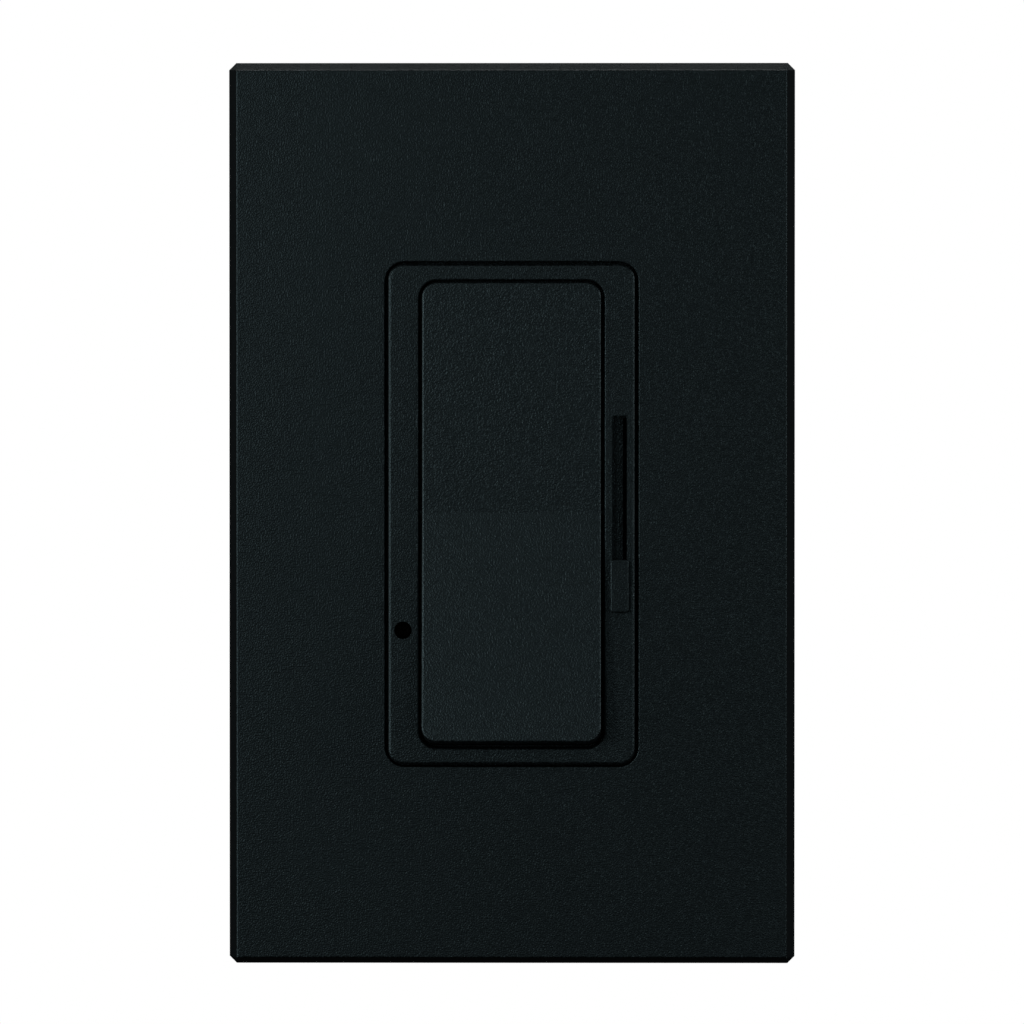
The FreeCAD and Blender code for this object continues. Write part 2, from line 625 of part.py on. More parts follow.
def make_triac_rivet():
    centre = (0, TRIAC_RIVET_Z)
    head = rod_y(1.9, centre, (-YOKE_THICKNESS - 0.6, -YOKE_THICKNESS))
    head = head.makeFillet(0.4, edges_on(head, -YOKE_THICKNESS - 0.6))
    return joined(head, rod_y(1.42, centre, (-YOKE_THICKNESS, 1.5)), rod_y(1.95, centre, (1.5, 2.2)))


def ring_sector(outer, inner, half, degrees):
    """A square-section ring about an axis along Y, turned through part of a circle."""
    x, y, z = CHOKE
    corners = [(inner, -half), (outer, -half), (outer, half), (inner, half)]
    points = [Vector(x + r, y + depth, z) for r, depth in corners]
    section = Part.Face(Part.makePolygon(points + points[:1]))
    return section.revolve(Vector(x, y, z), Y_AXIS, degrees)


def make_choke_core():
    return ring_sector(CHOKE_OUTER, CHOKE_INNER, CHOKE_HALF, 360)


def make_choke_winding():
    """The space that the wound wire fills around the core, with a gap between its two ends."""
    outer = ring_sector(CHOKE_OUTER + WINDING, CHOKE_INNER - WINDING, CHOKE_HALF + WINDING, 300)
    outer.rotate(Vector(*CHOKE), Y_AXIS, 30)
    core = ring_sector(CHOKE_OUTER + 0.02, CHOKE_INNER - 0.02, CHOKE_HALF + 0.02, 360)
    return without(outer, core)


def leads_to_board(points, back):
    """Square wire leads from the board's back face to a part above it."""
    return [middle_box(LEAD / 2, (BOARD_BACK, back), LEAD / 2, point) for point in points]


def make_film_capacitor():
    body = box((3.2, 15.8), (BOARD_BACK + 0.4, 18.6), (19.8, 26.2))
    body = body.makeFillet(0.5, edges_along(body, Y_AXIS) + edges_on(body, 18.6))
    return joined(body, *leads_to_board([(5.0, 23.0), (14.0, 23.0)], 9.0))


def make_timing_capacitor():
    body = box((4.0, 11.5), (BOARD_BACK + 0.4, 14.4), (28.0, 31.2))
    body = body.makeFillet(0.5, edges_along(body, Y_AXIS) + edges_on(body, 14.4))
    return joined(body, *leads_to_board([(5.5, 29.6), (10.0, 29.6)], 9.0))


def axial_part(x, z, half, radius, height):
    """A rod-shaped part lying across the board on two bent leads."""
    y = BOARD_BACK + height
    body = rod_x(radius, y, z, (x - half, x + half))
    body = body.makeFillet(radius * 0.35, [e for e in body.Edges if e.Curve.TypeId == "Part::GeomCircle"])
    reach = half + 2.0
    wire = rod_x(0.3, y, z, (x - reach, x + reach))
    legs = [rod_y(0.3, (x + side * reach, z), (BOARD_BACK, y)) for side in (-1, 1)]
    ends = [Part.makeSphere(0.3, Vector(x + side * reach, y, z)) for side in (-1, 1)]
    return joined(body, wire, *legs, *ends)


def make_resistors():
    return group([axial_part(-9.5, z, 3.2, 1.15, 1.7) for z in (-19.0, -23.0, -27.0)])


def make_diac():
    return axial_part(8.0, -19.0, 2.0, 0.9, 1.4)


def make_pilot_led():
    dome = Part.makeSphere(LED_RADIUS, Vector(PILOT[0], 3.0, PILOT[1]))
    body = rod_y(LED_RADIUS, PILOT, (3.0, 5.2))
    rim = rod_y(1.85, PILOT, (5.2, 6.0))
    legs = [middle_box(0.25, (6.0, 9.0), 0.25, (PILOT[0] + x, PILOT[1])) for x in (-1.0, 1.0)]
    led = joined(dome, body, rim, *legs)
    board_holes = middle_box(BOARD_HALF_WIDTH, (BOARD_FRONT, 12), 1)
    return without(led, board_holes.translate(Vector(0, 0, PILOT[1])))


def make_pilot_light_pipe():
    pipe = rod_y(PILOT_RADIUS - 0.05, PILOT, (PIPE_FRONT, 1.2))
    pipe = pipe.makeFillet(0.35, edges_on(pipe, PIPE_FRONT))
    flange = rod_y(2.2, PILOT, (0, 0.6))
    return joined(pipe, flange)


# ---- rear housing and terminals ----------------------------------------------------------
def terminal_block(side, height, x, y, half_z):
    return box(sorted((side * x[0], side * x[1])), y, (height - half_z, height + half_z))


def make_rear_housing():
    depth = HOUSING_DEPTH
    body = rounded_slab(HOUSING_HALF_WIDTH, (0, depth), HOUSING_HALF_HEIGHT, 3.0)
    body = body.makeFillet(1.0, edges_on(body, depth))
    inside = rounded_slab(HOUSING_HALF_WIDTH - HOUSING_WALL, (-1, depth - HOUSING_WALL),
                          HOUSING_HALF_HEIGHT - HOUSING_WALL, 1.5)
    shell = without(body, inside)
    solids = []
    for x, z in quadrants(HOUSING_SCREW):
        solids.append(rod_y(2.3, (x, z), (0, depth - 0.5)))
    for x, z in quadrants((19.6, 6.0)):
        solids.append(middle_box(0.9, (BOARD_BACK, depth - 0.5), 0.8, (x, z)))
    cuts = [rod_y(HOUSING_SCREW_RADIUS + 0.05, point, (-1, 16)) for point in quadrants(HOUSING_SCREW)]
    for side, height in TERMINALS:
        solids.append(terminal_block(side, height, (18.2, 21.9), (10.4, 25.6), 7.1))
        cuts.append(terminal_block(side, height, (19.8, 23.0), (12.0, 24.0), 5.5))
        cuts.append(terminal_block(side, height, (19.75, 20.85), (5.0, 13.0), 2.1))
        cuts.append(rod_x(2.1, TERMINAL_Y, height, sorted((side * 15.0, side * 21.0))))
    # strip-length groove and two shallow panels on the back
    cuts.append(box((-18.0, -6.0), (depth - 0.6, depth + 1), (-30.8, -29.4)))
    for z in (-16.0, 16.0):
        cuts.append(rounded_slab(15.0, (depth - 0.4, depth + 1), 11.0, 1.5, (0, z)))
    return without(joined(shell, *solids), *cuts)


def make_housing_screws():
    screws = []
    front = -YOKE_THICKNESS
    for point in quadrants(HOUSING_SCREW):
        head = cone_y(point, (front + 0.05, front + 1.3), (2.55, HOUSING_SCREW_RADIUS))
        shank = rod_y(HOUSING_SCREW_RADIUS, point, (front + 1.3, HOUSING_SCREW_END - 1.2))
        tip = cone_y(point, (HOUSING_SCREW_END - 1.2, HOUSING_SCREW_END), (HOUSING_SCREW_RADIUS, 0.4))
        recess = cross_recess(point, (front - 0.1, front + 0.8), 1.3, 0.6)
        screws.append(without(joined(head, shank, tip), *recess))
    return group(screws)


def make_terminal_plates():
    plates = []
    for side, height in TERMINALS:
        plate = terminal_block(side, height, (19.85, 20.75), (12.2, 23.6), 5.0)
        tongue = terminal_block(side, height, (19.85, 20.75), (BOARD_BACK + 0.1, 12.3), 2.0)
        foot = terminal_block(side, height, (17.4, 20.0), (BOARD_BACK, BOARD_BACK + 0.7), 2.0)
        hole = rod_x(1.75, TERMINAL_Y, height, sorted((side * 15.0, side * 22.0)))
        plates.append(without(joined(plate, tongue, foot), hole))
    return group(plates)


def make_terminal_clamps():
    """Square washers under the terminal screws' heads, with a raised lip each side."""
    clamps = []
    for side, height in TERMINALS:
        pad = terminal_block(side, height, (21.3, 21.9), (TERMINAL_Y - 4.0, TERMINAL_Y + 4.0), 4.2)
        lips = [terminal_block(side, height + z, (20.8, 21.9), (TERMINAL_Y - 4.0, TERMINAL_Y + 4.0), 0.35)
                for z in both([3.85])]
        hole = rod_x(1.9, TERMINAL_Y, height, sorted((side * 20.0, side * 23.0)))
        clamps.append(without(joined(pad, *lips), hole))
    return group(clamps)


def make_terminal_screws():
    screws = []
    for side, height in TERMINALS:
        shank = rod_x(TERMINAL_SCREW_RADIUS, TERMINAL_Y, height, sorted((side * 18.4, side * 21.9)))
        head = rod_x(TERMINAL_SCREW_HEAD, TERMINAL_Y, height, sorted((side * 21.9, side * 23.7)))
        slot = terminal_block(side, height, (23.0, 24.0), (TERMINAL_Y - 4, TERMINAL_Y + 4), 0.45)
        cross = terminal_block(side, height, (23.0, 24.0), (TERMINAL_Y - 0.45, TERMINAL_Y + 0.45), 2.2)
        screws.append(without(joined(shank, head), slot, cross))
    return group(screws)


# ---- every separate piece, by node name --------------------------------------------------
PIECES = {
    "wallplate_cover": make_wallplate_cover,
    "wallplate_adapter": make_wallplate_adapter,
    "adapter_screws": make_adapter_screws,
    "box_screws": make_box_screws,
    "screw_retainers": make_screw_retainers,
    "heatsink_yoke": make_heatsink_yoke,
    "ground_screw": make_ground_screw,
    "bezel": make_bezel,
    "paddle": make_paddle,
    "paddle_plunger": make_paddle_plunger,
    "plunger_spring": make_plunger_spring,
    "contact_rocker": make_contact_rocker,
    "rocker_contact_buttons": make_rocker_contact_buttons,
    "common_terminal": make_common_terminal,
    "fixed_contact_upper": lambda: make_fixed_contact(1),
    "fixed_contact_lower": lambda: make_fixed_contact(-1),
    "fixed_contact_buttons": make_fixed_contact_buttons,
    "switch_base": make_switch_base,
    "slider_knob": make_slider_knob,
    "slider_lever": make_slider_lever,
    "pot_carriage": make_pot_carriage,
    "pot_wiper": make_pot_wiper,
    "pot_housing": make_pot_housing,
    "pot_element": make_pot_element,
    "circuit_board": make_circuit_board,
    "triac_tab": make_triac_tab,
    "triac_body": make_triac_body,
    "triac_insulator": make_triac_insulator,
    "triac_rivet": make_triac_rivet,
    "choke_core": make_choke_core,
    "choke_winding": make_choke_winding,
    "film_capacitor": make_film_capacitor,
    "timing_capacitor": make_timing_capacitor,
    "resistors": make_resistors,
    "diac": make_diac,
    "pilot_led": make_pilot_led,
    "pilot_light_pipe": make_pilot_light_pipe,
    "rear_housing": make_rear_housing,
    "housing_screws": make_housing_screws,
    "terminal_plates": make_terminal_plates,
    "terminal_clamps": make_terminal_clamps,
    "terminal_screws": make_terminal_screws,
}

os.makedirs("parts", exist_ok=True)
for name, make in PIECES.items():
    shape = make()
    if not shape.isValid() or not shape.Solids:
        raise ValueError(f"{name} is not a valid solid")
    shape.exportStep(f"parts/{name}.step")
    print(name, len(shape.Solids), round(shape.Volume, 2))
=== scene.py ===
"""Looks of the slide dimmer: materials, threaded screws, wound choke, coil spring, light and camera.

Everything is in metres in the frame of the CAD model: +X right, +Y into the wall, +Z up.
"""
import json
import math

import bpy
from mathutils import Matrix, Vector


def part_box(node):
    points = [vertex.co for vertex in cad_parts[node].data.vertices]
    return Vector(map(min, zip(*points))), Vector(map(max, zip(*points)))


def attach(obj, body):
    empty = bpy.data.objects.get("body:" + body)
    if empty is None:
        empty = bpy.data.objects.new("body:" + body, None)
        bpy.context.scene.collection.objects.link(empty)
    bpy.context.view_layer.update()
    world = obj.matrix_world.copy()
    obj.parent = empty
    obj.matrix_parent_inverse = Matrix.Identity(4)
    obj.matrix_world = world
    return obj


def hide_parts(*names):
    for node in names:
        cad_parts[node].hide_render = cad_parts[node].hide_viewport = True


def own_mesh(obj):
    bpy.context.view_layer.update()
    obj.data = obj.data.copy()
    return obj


MM = 0.001
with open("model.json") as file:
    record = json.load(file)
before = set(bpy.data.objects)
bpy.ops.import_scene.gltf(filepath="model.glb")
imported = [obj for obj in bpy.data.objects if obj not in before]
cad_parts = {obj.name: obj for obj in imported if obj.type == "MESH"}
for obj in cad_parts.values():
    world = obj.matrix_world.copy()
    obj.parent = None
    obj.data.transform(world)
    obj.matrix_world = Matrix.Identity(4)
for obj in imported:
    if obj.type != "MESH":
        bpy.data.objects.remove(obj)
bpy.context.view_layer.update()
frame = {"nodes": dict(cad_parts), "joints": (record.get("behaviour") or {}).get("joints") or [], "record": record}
NODES = frame["nodes"]

USUAL = (0.3, 0.7)            # most of a noise texture lies between these values
EVEN = (1.0, 1.0, 1.0)        # stretch of a texture that is the same all ways
ALONG_Y = (1.0, 0.03, 1.0)    # stretches that draw a texture out into lines along one axis
ALONG_Z = (1.0, 1.0, 0.03)


def tinted(colour, factor):
    """A colour made darker or brighter."""
    return tuple(channel * factor for channel in colour)


# ---- node helpers ------------------------------------------------------------------------
class Shader:
    """A Principled material whose textures share one set of object coordinates."""

    def __init__(self, name):
        self.material = bpy.data.materials.new(name)
        self.material.use_nodes = True
        self.nodes = self.material.node_tree.nodes
        self.links = self.material.node_tree.links
        self.nodes.clear()
        self.output = self.nodes.new("ShaderNodeOutputMaterial")
        self.surface = self.nodes.new("ShaderNodeBsdfPrincipled")
        self.links.new(self.surface.outputs["BSDF"], self.output.inputs["Surface"])
        self.place = self.nodes.new("ShaderNodeTexCoord").outputs["Object"]

    def set(self, **values):
        """Uniform values of the shader's own sockets; underscores stand for spaces."""
        for key, value in values.items():
            self.surface.inputs[key.replace("_", " ")].default_value = value
        return self

    def link(self, output, socket):
        self.links.new(output, self.surface.inputs[socket])

    def stretched(self, scale, turn=(0, 0, 0)):
        """Object coordinates scaled by different amounts along X, Y and Z."""
        mapping = self.nodes.new("ShaderNodeMapping")
        mapping.inputs["Scale"].default_value = scale
        mapping.inputs["Rotation"].default_value = turn
        self.links.new(self.place, mapping.inputs["Vector"])
        return mapping.outputs["Vector"]

    def noise(self, scale, detail=2.0, roughness=0.5, place=None):
        texture = self.nodes.new("ShaderNodeTexNoise")
        texture.inputs["Scale"].default_value = scale
        texture.inputs["Detail"].default_value = detail
        texture.inputs["Roughness"].default_value = roughness
        self.links.new(place or self.place, texture.inputs["Vector"])
        return texture.outputs["Fac"]

    def ramp(self, factor, stops):
        """Colours or greys between stops, each (place, value or colour)."""
        ramp = self.nodes.new("ShaderNodeValToRGB")
        elements = ramp.color_ramp.elements
        while len(elements) < len(stops):
            elements.new(0.5)
        for element, (where, value) in zip(elements, stops):
            colour = value if isinstance(value, (tuple, list)) else (value,) * 3
            element.position = where
            element.color = (*colour, 1)
        self.links.new(factor, ramp.inputs["Fac"])
        return ramp.outputs["Color"]

    def spread(self, factor, low, high):
        """A colour or grey that goes from low to high over a texture's usual range."""
        return self.ramp(factor, [(USUAL[0], low), (USUAL[1], high)])

    def range(self, factor, low, high, source=USUAL):
        """A number that runs from low to high as the texture runs through its source range."""
        node = self.nodes.new("ShaderNodeMapRange")
        node.inputs["From Min"].default_value = source[0]
        node.inputs["From Max"].default_value = source[1]
        node.inputs["To Min"].default_value = low
        node.inputs["To Max"].default_value = high
        self.links.new(factor, node.inputs["Value"])
        return node.outputs["Result"]

    def math(self, operation, *values):
        """The result of one arithmetic operation on sockets or numbers."""
        node = self.nodes.new("ShaderNodeMath")
        node.operation = operation
        for socket, value in zip(node.inputs, values):
            if isinstance(value, (int, float)):
                socket.default_value = value
            else:
                self.links.new(value, socket)
        return node.outputs["Value"]

    def mix(self, factor, first, second):
        """Mixes two colours, each a socket or an RGB tuple."""
        node = self.nodes.new("ShaderNodeMix")
        node.data_type = "RGBA"
        sockets = [s for s in node.inputs if s.enabled]
        for socket, value in zip(sockets[1:], (first, second)):
            if isinstance(value, tuple):
                socket.default_value = (*value, 1)
            else:
                self.links.new(value, socket)
        self.links.new(factor, sockets[0])
        return [s for s in node.outputs if s.enabled][0]

    def edge_wear(self, radius):
        """1 on sharp edges, falling to 0 on flat faces."""
        bevel = self.nodes.new("ShaderNodeBevel")
        bevel.samples = 6
        bevel.inputs["Radius"].default_value = radius
        geometry = self.nodes.new("ShaderNodeNewGeometry")
        dot = self.nodes.new("ShaderNodeVectorMath")
        dot.operation = "DOT_PRODUCT"
        self.links.new(bevel.outputs["Normal"], dot.inputs[0])
        self.links.new(geometry.outputs["Normal"], dot.inputs[1])
        return self.range(dot.outputs["Value"], 1.0, 0.0, source=(0.8, 0.99))

    def bump(self, *layers):
        """Stacks bumps, each (height socket, depth in metres, strength)."""
        normal = None
        for height, depth, strength in layers:
            node = self.nodes.new("ShaderNodeBump")
            node.inputs["Distance"].default_value = depth
            node.inputs["Strength"].default_value = strength
            self.links.new(height, node.inputs["Height"])
            if normal is not None:
                self.links.new(normal, node.inputs["Normal"])
            normal = node.outputs["Normal"]
        self.link(normal, "Normal")


# ---- materials ---------------------------------------------------------------------------
MOULD_GRAIN = 5200.0          # scale of the mould's grain, in noise cells per metre
PAINTED_PIT_SHADE = (0.36, 0.12)            # the noise value of a pit, and how bright the painted shade in it is
PAINTED_CREST_GLINT = (0.64, 3.6)           # the same of a crest and the painted glint on it


def textured_black(name, colour, relief=0.04, specular=0.5):
    """Charcoal plastic from a spark-eroded mould: a fine, even grain, with painted shade in its pits and painted
    glints on its crests.
    """
    shader = Shader(name)
    shader.set(IOR=1.5, Specular_IOR_Level=specular, Specular_Tint=(0.62, 0.92, 1.0, 1))
    fine = shader.noise(MOULD_GRAIN, detail=0.0)
    broad = shader.noise(60.0, detail=3.0, roughness=0.6)
    # The grain's colour follows the bump's own noise: pits painted dark as shade, crests painted pale as glints.
    stops = [(PAINTED_PIT_SHADE[0], tinted(colour, PAINTED_PIT_SHADE[1])), (0.5, colour), (PAINTED_CREST_GLINT[0], tinted(colour, PAINTED_CREST_GLINT[1]))]
    painted_pit_and_crest_light = shader.ramp(fine, stops)
    cloud = shader.spread(broad, tinted(colour, 0.92), tinted(colour, 1.08))
    shader.link(shader.mix(shader.range(broad, 0.02, 0.10), painted_pit_and_crest_light, cloud), "Base Color")
    polish = shader.range(broad, -0.006, 0.006)
    shader.link(shader.math("ADD", shader.range(fine, 0.395, 0.265), polish), "Roughness")
    shader.bump((fine, relief * MM, 1.0))
    return shader.material


def plain_plastic(name, colour, roughness, grain=900.0, depth=0.02, specular=0.5, coat=0.0):
    """Moulded plastic with a faint orange peel and a slow change of gloss."""
    shader = Shader(name)
    shader.set(IOR=1.5, Specular_IOR_Level=specular, Coat_Weight=coat, Coat_Roughness=0.15)
    fine = shader.noise(grain, detail=3.0, roughness=0.6)
    broad = shader.noise(90.0)
    shader.link(shader.spread(broad, tinted(colour, 0.88), tinted(colour, 1.1)), "Base Color")
    shader.link(shader.range(broad, roughness - 0.06, roughness + 0.06), "Roughness")
    shader.bump((fine, depth * MM, 0.5))
    return shader.material


def glass_filled(name, colour):
    """Black glass-filled nylon: pale fibre flecks just under a satin skin."""
    shader = Shader(name)
    shader.set(IOR=1.5, Specular_IOR_Level=0.5)
    fibres = shader.stretched((1, 1, 0.25), turn=(0.3, 0.5, 0.2))
    flecks = shader.noise(2600.0, roughness=0.7, place=fibres)
    fine = shader.noise(1500.0, detail=3.0, roughness=0.6)
    broad = shader.noise(45.0, detail=3.0, roughness=0.6)
    base = shader.spread(broad, tinted(colour, 0.85), tinted(colour, 1.15))
    fleck = shader.range(flecks, 0.0, 0.35, source=(0.62, 0.78))
    shader.link(shader.mix(fleck, base, tinted(colour, 3.2)), "Base Color")
    shader.link(shader.range(broad, 0.42, 0.56), "Roughness")
    shader.bump((fine, 0.03 * MM, 0.5))
    return shader.material


def metal(name, colour, roughness, brushed=EVEN, wear=0.25):
    """Bare metal with drawn or brushed lines, stains and brighter edges."""
    shader = Shader(name)
    shader.set(Metallic=1.0)
    lines = shader.noise(2400.0, detail=3.0, roughness=0.7, place=shader.stretched(brushed))
    stain = shader.noise(110.0, detail=4.0, roughness=0.65)
    tone = shader.ramp(stain, [(0.3, tinted(colour, 0.88)), (0.65, colour)])
    edge = shader.math("MULTIPLY", shader.edge_wear(0.12 * MM), wear)
    shader.link(shader.mix(edge, tone, tinted(colour, 1.18)), "Base Color")
    drawn = shader.range(lines, -0.05, 0.07)
    stained = shader.range(stain, roughness, roughness + 0.06)
    shader.link(shader.math("ADD", drawn, stained), "Roughness")
    shader.bump((lines, 0.004 * MM, 0.5), (stain, 0.02 * MM, 0.15))
    return shader.material


def board_laminate(name):
    """Green solder mask over copper tracks on glass cloth."""
    shader = Shader(name)
    shader.set(Coat_Weight=0.4, Coat_Roughness=0.2)
    tracks = shader.noise(160.0, detail=0.0, place=shader.stretched((1.0, 0.2, 2.4)))
    copper = shader.range(tracks, 0.0, 1.0, source=(0.52, 0.535))
    weave = shader.noise(2400.0, detail=1.0)
    mask = shader.spread(weave, (0.006, 0.055, 0.022), (0.010, 0.085, 0.035))
    shader.link(shader.mix(copper, mask, (0.03, 0.17, 0.06)), "Base Color")
    shader.link(shader.range(weave, 0.35, 0.45), "Roughness")
    shader.bump((copper, 0.035 * MM, 0.6), (weave, 0.01 * MM, 0.3))
    return shader.material


def ferrite_core(name):
    """Powder-coated iron core, rough and a little uneven in colour."""
    shader = Shader(name)
    grain = shader.noise(1800.0, detail=3.0, roughness=0.7)
    shader.link(shader.spread(grain, (0.10, 0.085, 0.02), (0.20, 0.17, 0.045)), "Base Color")
    shader.link(shader.range(grain, 0.45, 0.65), "Roughness")
    shader.bump((grain, 0.05 * MM, 0.6))
    return shader.material


def enamelled_copper(name):
    """Copper wire under a clear, glossy enamel."""
    shader = Shader(name)
    shader.set(Metallic=0.85, Coat_Weight=0.8, Coat_Roughness=0.12, Coat_IOR=1.5)
    stain = shader.noise(260.0, detail=3.0, roughness=0.6)
    shader.link(shader.spread(stain, (0.42, 0.13, 0.045), (0.62, 0.24, 0.09)), "Base Color")
    shader.link(shader.range(stain, 0.22, 0.34), "Roughness")
    shader.bump((stain, 0.01 * MM, 0.2))
    return shader.material


BAND_EDGE = (0.26 * MM, 0.30 * MM)      # from a ring's middle to where it fades and where it ends
BODY_EDGE = (3.2 * MM, 3.24 * MM)       # from the body's middle to where the lacquer ends on the wire


def banded_resistor(name, bands):
    """Tan lacquer with colour rings along X, measured from the bodies' common middle."""
    shader = Shader(name)
    shader.set(Coat_Weight=0.5, Coat_Roughness=0.2)
    middle = sum(corner.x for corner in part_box("resistors")) / 2
    axis = shader.nodes.new("ShaderNodeSeparateXYZ")
    shader.links.new(shader.place, axis.inputs["Vector"])

    def distance_from(x):
        return shader.math("ABSOLUTE", shader.math("SUBTRACT", axis.outputs["X"], x))

    colour = shader.spread(shader.noise(500.0), (0.50, 0.36, 0.20), (0.60, 0.45, 0.27))
    for offset, band in bands:
        inside = shader.range(distance_from(middle + offset * MM), 1.0, 0.0, source=BAND_EDGE)
        colour = shader.mix(inside, colour, band)
    wire = shader.range(distance_from(middle), 0.0, 1.0, source=BODY_EDGE)
    shader.link(shader.mix(wire, colour, (0.6, 0.6, 0.58)), "Base Color")
    shader.link(wire, "Metallic")
    shader.link(shader.range(shader.noise(700.0), 0.25, 0.4), "Roughness")
    return shader.material


def clear_plastic(name, colour, roughness, transmission):
    """Clear or tinted plastic, glass or mica with a faint haze."""
    shader = Shader(name)
    shader.set(IOR=1.49, Transmission_Weight=transmission)
    haze = shader.noise(400.0)
    shader.link(shader.spread(haze, tinted(colour, 0.9), tinted(colour, 1.1)), "Base Color")
    shader.link(shader.range(haze, roughness, roughness + 0.08), "Roughness")
    return shader.material


CHARCOAL = (0.0038, 0.0053, 0.0058)
# Brown, black, orange and gold rings, each (millimetres from the middle, colour).
BAND_COLOURS = [(-2.0, (0.20, 0.07, 0.03)), (-1.0, (0.02, 0.02, 0.02)), (0.0, (0.75, 0.25, 0.03)),
                (1.9, (0.55, 0.40, 0.12))]

MATERIALS = {
    "faceplate_plastic": textured_black("faceplate_plastic", CHARCOAL),
    "bezel_plastic": textured_black("bezel_plastic", CHARCOAL, relief=0.045),
    "paddle_plastic": textured_black("paddle_plastic", tinted(CHARCOAL, 1.1), relief=0.042, specular=0.58),
    "knob_plastic": textured_black("knob_plastic", CHARCOAL, relief=0.035),
    "adapter_plastic": plain_plastic("adapter_plastic", (0.012, 0.014, 0.015), 0.5),
    "housing_plastic": glass_filled("housing_plastic", (0.016, 0.017, 0.018)),
    "phenolic": plain_plastic("phenolic", (0.035, 0.020, 0.013), 0.4),
    "nylon": plain_plastic("nylon", (0.62, 0.60, 0.53), 0.45),
    "yoke_aluminium": metal("yoke_aluminium", (0.74, 0.75, 0.77), 0.30, ALONG_Z),
    "zinc_steel": metal("zinc_steel", (0.60, 0.62, 0.65), 0.26, wear=0.4),
    "spring_steel": metal("spring_steel", (0.42, 0.42, 0.42), 0.25),
    "green_screw": metal("green_screw", (0.035, 0.30, 0.09), 0.32, wear=0.5),
    "mica": clear_plastic("mica", (0.62, 0.58, 0.48), 0.12, 0.6),
    "brass": metal("brass", (0.78, 0.55, 0.24), 0.28, ALONG_Y),
    "brass_screw": metal("brass_screw", (0.80, 0.57, 0.26), 0.24, wear=0.4),
    "silver_contact": metal("silver_contact", (0.86, 0.85, 0.82), 0.18),
    "phosphor_bronze": metal("phosphor_bronze", (0.66, 0.40, 0.22), 0.3, ALONG_Z),
    "resistive_track": plain_plastic("resistive_track", (0.012, 0.012, 0.012), 0.35),
    "board_laminate": board_laminate("board_laminate"),
    "tinned_copper": metal("tinned_copper", (0.72, 0.71, 0.68), 0.24),
    "epoxy_black": plain_plastic("epoxy_black", (0.012, 0.012, 0.012), 0.55, 1600.0, 0.03),
    "rivet_aluminium": metal("rivet_aluminium", (0.74, 0.74, 0.75), 0.3),
    "ferrite": ferrite_core("ferrite"),
    "enamelled_copper": enamelled_copper("enamelled_copper"),
    "capacitor_red": plain_plastic("capacitor_red", (0.36, 0.035, 0.02), 0.25, 300.0, 0.06, coat=0.5),
    "capacitor_green": plain_plastic("capacitor_green", (0.05, 0.16, 0.05), 0.25, 300.0, 0.06, coat=0.5),
    "resistor_body": banded_resistor("resistor_body", BAND_COLOURS),
    "diac_body": clear_plastic("diac_body", (0.15, 0.28, 0.55), 0.08, 0.7),
    "led_lens": clear_plastic("led_lens", (0.80, 0.78, 0.68), 0.25, 0.75),
    # A smoked lens, its colour and gloss turned down past its own to near black: painted shade that keeps the
    # pilot hole dark.
    "smoked_lens": plain_plastic("smoked_lens", (0.0008, 0.0008, 0.0009), 0.55, specular=0.03),
}


def dress_nodes():
    """Gives each CAD node the material of its record slot."""
    for entry in frame["record"]["subparts"]:
        for slot in NODES[entry["node"]].material_slots:
            slot.material = MATERIALS[entry["material_slot"]]


# ---- mesh helpers ------------------------------------------------------------------------
SHARP = math.radians(35)          # edges that turn more than this stay sharp
SHARP_ON_WIRE = math.radians(60)


def mesh_piece(name, vertices, faces, material, sharp=SHARP):
    """A new object with one material, shaded smooth between its sharp edges."""
    mesh = bpy.data.meshes.new(name)
    mesh.from_pydata([tuple(v) for v in vertices], [], faces)
    mesh.validate()
    piece = bpy.data.objects.new(name, mesh)
    bpy.context.scene.collection.objects.link(piece)
    mesh.materials.append(MATERIALS[material])
    mesh.shade_smooth()
    mesh.set_sharp_from_angle(angle=sharp)
    return piece


def lathe(rings, around):
    """Vertices and faces of a closed solid about +Y; each ring is a depth and its radii by angle."""
    vertices, faces = [], []
    for y, radii in rings:
        for spoke in range(around):
            angle = 2 * math.pi * spoke / around
            vertices.append((radii[spoke] * math.cos(angle), y, radii[spoke] * math.sin(angle)))
    for row in range(len(rings) - 1):
        for spoke in range(around):
            here, beside = row * around + spoke, row * around + (spoke + 1) % around
            faces.append((here, here + around, beside + around, beside))
    faces.append(tuple(range(around)))
    last = (len(rings) - 1) * around
    faces.append(tuple(range(last + around - 1, last - 1, -1)))
    return vertices, faces


RINGS_PER_PITCH = 8
THREAD_FLAT = 0.12            # share of the pitch that is flat at the crest, and again at the root
TIP_DEPTH = 0.25              # share of the thread's depth that is left at the tip


def thread_rings(start, end, radius, pitch, depth, around):
    """Rings whose radii follow a V thread that fades out towards both ends."""
    rings = []
    count = round((end - start) / pitch * RINGS_PER_PITCH)
    for row in range(count + 1):
        y = start + (end - start) * row / count
        fade = max(0.0, min(1.0, (y - start) / pitch, (end - y) / pitch + TIP_DEPTH))
        radii = []
        for spoke in range(around):
            wave = abs(2 * ((y / pitch - spoke / around) % 1.0) - 1)
            wave = min(1.0, max(0.0, (wave - THREAD_FLAT) / (1 - 2 * THREAD_FLAT)))
            radii.append(radius - depth * wave * fade)
        rings.append((y, radii))
    return rings


def even_rings(profile, around):
    """Plain round rings, each (depth, radius)."""
    return [(y, [radius] * around) for y, radius in profile]


DRIVER_TAPER = 0.55           # reach of a driver's tip beside its reach at the screw's face


